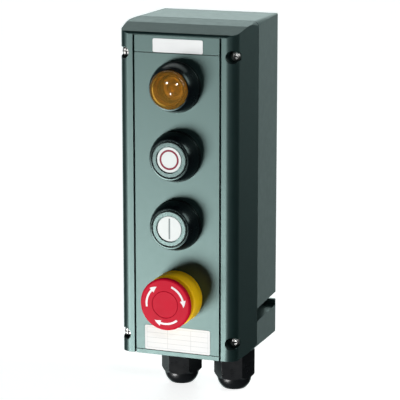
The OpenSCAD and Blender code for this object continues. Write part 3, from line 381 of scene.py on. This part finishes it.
def spring(node, turns):
    """A wound spring from the seat to the cap; the CAD's solid stops short of both by the same gap."""
    low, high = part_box(node)
    centre = (low + high) / 2
    front = low.y - (SPRING_SEAT_Y - high.y)
    piece = add_mesh(node + "_wound", wound_wire(centre, front, turns), MATERIALS["spring_steel"], "station")
    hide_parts(node)
    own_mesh(piece)


spring("off_spring", 4)
spring("on_spring", 4)
spring("estop_spring", 8)


# ---------------------------------------------------------------- pieces: symbols

SYMBOL_RED = finish("symbol_red", (0.17, 0.004, 0.024), 0.4, patch=0.05, depth=0.005, edge=0, Specular_IOR_Level=0.2)
SYMBOL_GREY = finish("symbol_grey", (0.10, 0.13, 0.13), 0.3, patch=0.05, depth=0.005, edge=0)
SYMBOL_WHITE = finish("symbol_white", (0.50, 0.49, 0.49), 0.3, patch=0.03, depth=0.005, edge=0)
RULE_GREY = finish("rule_grey", (0.36, 0.38, 0.38), 0.4, patch=0.05, depth=0.005, edge=0)

PRINT_T = 0.06 * MM
PRINT_SINK = 0.03 * MM
PRINT_EDGE = 0.1 * MM

# the common symbols: a ring for off, an upright bar for on
RING_OUT, RING_IN = 7.3 * MM, 5.9 * MM
ring_profile = [(RING_IN, -PRINT_SINK), (RING_IN, PRINT_T / 2), (RING_IN + PRINT_EDGE, PRINT_T),
                (RING_OUT - PRINT_EDGE, PRINT_T), (RING_OUT, PRINT_T / 2), (RING_OUT, -PRINT_SINK)]
add_mesh("off_ring_symbol", lathed_ring(ring_profile, front_middle("off_legend")), SYMBOL_RED, "off_button",
         smooth=False)

face = front_middle("on_legend")
BAR_W, BAR_H = 1.2 * MM, 15.1 * MM
bar = [(face.x - BAR_W / 2, face.z - BAR_H / 2), (face.x + BAR_W / 2, face.z - BAR_H / 2),
       (face.x + BAR_W / 2, face.z + BAR_H / 2), (face.x - BAR_W / 2, face.z + BAR_H / 2)]
raised_bar = lifted_outline([bar], lambda x, z: face.y + PRINT_SINK, lambda x, z: face.y - PRINT_T, PRINT_EDGE)
add_mesh("on_bar_symbol", raised_bar, SYMBOL_GREY, "on_button", smooth=False)

# turn-to-release arrows on the mushroom, which follow its surface
PROBE_START = 0.05  # how far in front of the part the rays that find the mushroom's surface begin
ARROWS = 3
ARROW_R, ARROW_W, ARROW_HEAD_W = 14.2 * MM, 1.5 * MM, 4.4 * MM
ARROW_START, ARROW_SWEEP, ARROW_HEAD = 20.0, 74.0, 20.0  # degrees along the arc
ARROW_STEPS, HEAD_STEPS = 16, 6
ARROW_TIP = 0.04 * MM
SHARES_ACROSS = (-1.0, -0.5, 0.0, 0.5, 1.0)
head_mesh = nodes["estop_head"].data
head_tree = BVHTree.FromPolygons([v.co[:] for v in head_mesh.vertices], [p.vertices[:] for p in head_mesh.polygons])
head_mid = middle("estop_head")


def head_y(x, z):
    hit = head_tree.ray_cast(Vector((x, cad_low.y - PROBE_START, z)), Vector((0, 1, 0)))
    return hit[0].y if hit[0] else head_mid.y


def on_head(radius, degrees):
    turn = math.radians(degrees)
    return head_mid.x + radius * math.sin(turn), head_mid.z + radius * math.cos(turn)


def conformed_arrows():
    shaft = [(i / ARROW_STEPS * (ARROW_SWEEP - ARROW_HEAD), ARROW_W / 2) for i in range(ARROW_STEPS + 1)]
    point = [(ARROW_SWEEP - ARROW_HEAD * (1 - i / HEAD_STEPS), ARROW_HEAD_W / 2 * (1 - i / HEAD_STEPS))
             for i in range(HEAD_STEPS)]
    point.append((ARROW_SWEEP, ARROW_TIP))
    built = bmesh.new()
    for k in range(ARROWS):
        start = 360.0 / ARROWS * k + ARROW_START
        rows = [[on_head(ARROW_R + share * half, start + degrees) for share in SHARES_ACROSS]
                for degrees, half in shaft + point]
        tops = [[built.verts.new((x, max(head_y(x, z) - PRINT_T, cad_low.y), z)) for x, z in row] for row in rows]
        backs = [[built.verts.new((x, head_y(x, z) + PRINT_SINK, z)) for x, z in row] for row in rows]
        last_row, last_column = len(rows) - 1, len(SHARES_ACROSS) - 1
        for i in range(last_row):
            for j in range(last_column):
                built.faces.new((tops[i][j], tops[i][j + 1], tops[i + 1][j + 1], tops[i + 1][j]))
                built.faces.new((backs[i][j], backs[i + 1][j], backs[i + 1][j + 1], backs[i][j + 1]))
            for j in (0, last_column):
                built.faces.new((tops[i][j], tops[i + 1][j], backs[i + 1][j], backs[i][j]))
        for i in (0, last_row):
            for j in range(last_column):
                built.faces.new((tops[i][j], tops[i][j + 1], backs[i][j + 1], backs[i][j]))
    bmesh.ops.recalc_face_normals(built, faces=built.faces)
    return built


add_mesh("estop_arrows", conformed_arrows(), SYMBOL_WHITE, "estop_mushroom", smooth=False)

# an empty ruled table on the rating plate
RULE_W, RULE_EDGE = 0.22 * MM, 0.03 * MM
TABLE_EDGE = 1.6 * MM
ROWS = 4
COLUMN_SHARES = (0.0, 0.34, 0.72, 1.0)
plate_low, plate_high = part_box("rating_plate")
left, right = plate_low.x + TABLE_EDGE, plate_high.x - TABLE_EDGE
bottom, top = plate_low.z + TABLE_EDGE, plate_high.z - TABLE_EDGE
rules = []
for i in range(ROWS + 1):
    z = bottom + (top - bottom) * i / ROWS
    rules.append([(left, z - RULE_W / 2), (right, z - RULE_W / 2), (right, z + RULE_W / 2), (left, z + RULE_W / 2)])
for share in COLUMN_SHARES:
    x = left + (right - left) * share
    rules.append([(x - RULE_W / 2, bottom), (x + RULE_W / 2, bottom), (x + RULE_W / 2, top), (x - RULE_W / 2, top)])
raised_rules = lifted_outline(rules, lambda x, z: plate_low.y + PRINT_SINK, lambda x, z: plate_low.y - PRINT_T / 2,
                              RULE_EDGE)
add_mesh("rating_rules", raised_rules, RULE_GREY, "station", smooth=False)


# ---------------------------------------------------------------- stage, light, camera

FLOOR_HALF, FLOOR_GAP = 6.0, 0.0002
floor_z = cad_low.z - FLOOR_GAP
corners = [(-FLOOR_HALF, -FLOOR_HALF, floor_z), (FLOOR_HALF, -FLOOR_HALF, floor_z),
           (FLOOR_HALF, FLOOR_HALF, floor_z), (-FLOOR_HALF, FLOOR_HALF, floor_z)]
floor_mesh = bpy.data.meshes.new("floor")
floor_mesh.from_pydata(corners, [], [(0, 1, 2, 3)])
floor_mesh.materials.append(finish("floor_pale", (0.90, 0.90, 0.90), 0.6, patch=0.01, depth=0.02, edge=0,
                                   Emission_Color=(1.0, 1.0, 1.0, 1.0), Emission_Strength=0.80))
floor = bpy.data.objects.new("floor", floor_mesh)
bpy.context.scene.collection.objects.link(floor)
floor.visible_glossy = False
floor.visible_shadow = False

LOOK_AT = Vector((0.0, -0.05, 0.0))


def direction(azimuth, elevation):
    """From the object: azimuth 0 is straight in front and positive to the right, in degrees."""
    a, e = math.radians(azimuth), math.radians(elevation)
    return Vector((math.sin(a) * math.cos(e), -math.cos(a) * math.cos(e), math.sin(e)))


def softbox(name, azimuth, elevation, distance, width, height, radiance):
    """A round or oval light that faces the part."""
    data = bpy.data.lights.new(name, "AREA")
    data.shape = "ELLIPSE"
    data.size, data.size_y = width, height
    data.energy = radiance * math.pi * width * height
    light = bpy.data.objects.new(name, data)
    back = direction(azimuth, elevation)
    light.location = LOOK_AT + back * distance
    light.rotation_euler = back.to_track_quat("Z", "Y").to_euler()
    bpy.context.scene.collection.objects.link(light)
    return light


def link_to_lens(light, state):
    """INCLUDE: the light falls on the lens alone; EXCLUDE: on all but the lens."""
    receivers = bpy.data.collections.new(light.name + "_receivers")
    receivers.objects.link(lens)
    receivers.collection_objects[0].light_linking.link_state = state
    light.light_linking.receiver_collection = receivers


# a large key low on the left, whose sheen covers the panel; three spots for the lens; a small light for the crescents
# on the bezels; and an upright one beside the right side
key = softbox("key_left", -31.0, -26.0, 6.0, 3.0, 2.4, 18.8)
spots = [softbox("spot_left", -13.5, 22.0, 1.3, 0.12, 0.12, 100.0),
         softbox("spot_low", -0.6, -12.0, 1.3, 0.10, 0.10, 120.0),
         softbox("spot_upper", 29.0, 23.5, 1.3, 0.10, 0.10, 140.0)]
softbox("spot_right", 27.5, 22.5, 1.3, 0.09, 0.09, 90.0)
softbox("side_right", 98.0, 38.0, 1.2, 0.3, 0.9, 4.5)

# the key's image in the lens would cover the small highlights, which are the spots' work
link_to_lens(key, "EXCLUDE")
for spot in spots:
    link_to_lens(spot, "INCLUDE")

world = bpy.data.worlds.new("studio")
world.use_nodes = True
bpy.context.scene.world = world
tree = world.node_tree
tree.nodes.clear()


def math_node(operation, a, b):
    node = tree.nodes.new("ShaderNodeMath")
    node.operation = operation
    for socket, value in ((node.inputs[0], a), (node.inputs[1], b)):
        if isinstance(value, (int, float)):
            socket.default_value = value
        else:
            tree.links.new(value, socket)
    return node.outputs[0]


def smooth_step(value, low, high):
    """0 at low, 1 at high, smooth between; high may lie under low."""
    mapped = tree.nodes.new("ShaderNodeMapRange")
    mapped.interpolation_type = "SMOOTHSTEP"
    mapped.inputs["From Min"].default_value = low
    mapped.inputs["From Max"].default_value = high
    tree.links.new(value, mapped.inputs["Value"])
    return mapped.outputs["Result"]


split = tree.nodes.new("ShaderNodeSeparateXYZ")
tree.links.new(tree.nodes.new("ShaderNodeTexCoord").outputs["Generated"], split.inputs[0])
across, behind, up = split.outputs

# the surroundings: lit only behind the object, brightest on the left, dark overhead and low on the right
LEFT_GLOW, WIDE_GLOW, LEAST_GLOW = 1.6, 0.52, 0.006
SLANT = 1.5  # the wide glow reaches further to the right the higher it is
left_part = math_node("MULTIPLY", smooth_step(across, 0.30, -0.25), LEFT_GLOW)
slanted = math_node("SUBTRACT", across, math_node("MULTIPLY", up, SLANT))
wide_part = math_node("MULTIPLY", smooth_step(slanted, 0.90, 0.50), WIDE_GLOW)
rear = math_node("MULTIPLY", smooth_step(behind, 0.35, 0.75), smooth_step(up, 0.72, 0.28))
glow = math_node("ADD", math_node("MULTIPLY", math_node("ADD", left_part, wide_part), rear), LEAST_GLOW)
lighting = tree.nodes.new("ShaderNodeBackground")
lighting.inputs["Color"].default_value = (0.84, 1.0, 0.98, 1.0)
tree.links.new(glow, lighting.inputs["Strength"])

# the camera itself sees white
seen = tree.nodes.new("ShaderNodeBackground")
seen.inputs["Color"].default_value = (1.0, 1.0, 1.0, 1.0)
seen.inputs["Strength"].default_value = 1.0
mixed = tree.nodes.new("ShaderNodeMixShader")
tree.links.new(tree.nodes.new("ShaderNodeLightPath").outputs["Is Camera Ray"], mixed.inputs[0])
tree.links.new(lighting.outputs[0], mixed.inputs[1])
tree.links.new(seen.outputs[0], mixed.inputs[2])
tree.links.new(mixed.outputs[0], tree.nodes.new("ShaderNodeOutputWorld").inputs["Surface"])

bpy.context.scene.view_settings.view_transform = "Standard"

CAMERA_AZIMUTH, CAMERA_ELEVATION, CAMERA_ROLL = 20.584, 12.225, 0.017
CAMERA_AT = Vector((0.4952, -1.3620, 0.2909))
FOCAL_PIXELS = 1941.8
FRAME_PIXELS = 400
SENSOR = 36.0
camera_data = bpy.data.cameras.new("camera")
camera_data.sensor_width = SENSOR
camera_data.lens = FOCAL_PIXELS / FRAME_PIXELS * camera_data.sensor_width
camera_data.clip_start, camera_data.clip_end = 0.01, 50.0
camera = bpy.data.objects.new("camera", camera_data)
toward = direction(CAMERA_AZIMUTH, CAMERA_ELEVATION)
aim = toward.to_track_quat("Z", "Y").to_matrix().to_4x4()
roll = Matrix.Rotation(math.radians(-CAMERA_ROLL), 4, "Z")
camera.matrix_world = Matrix.Translation(CAMERA_AT) @ aim @ roll
bpy.context.scene.collection.objects.link(camera)
bpy.context.scene.camera = camera
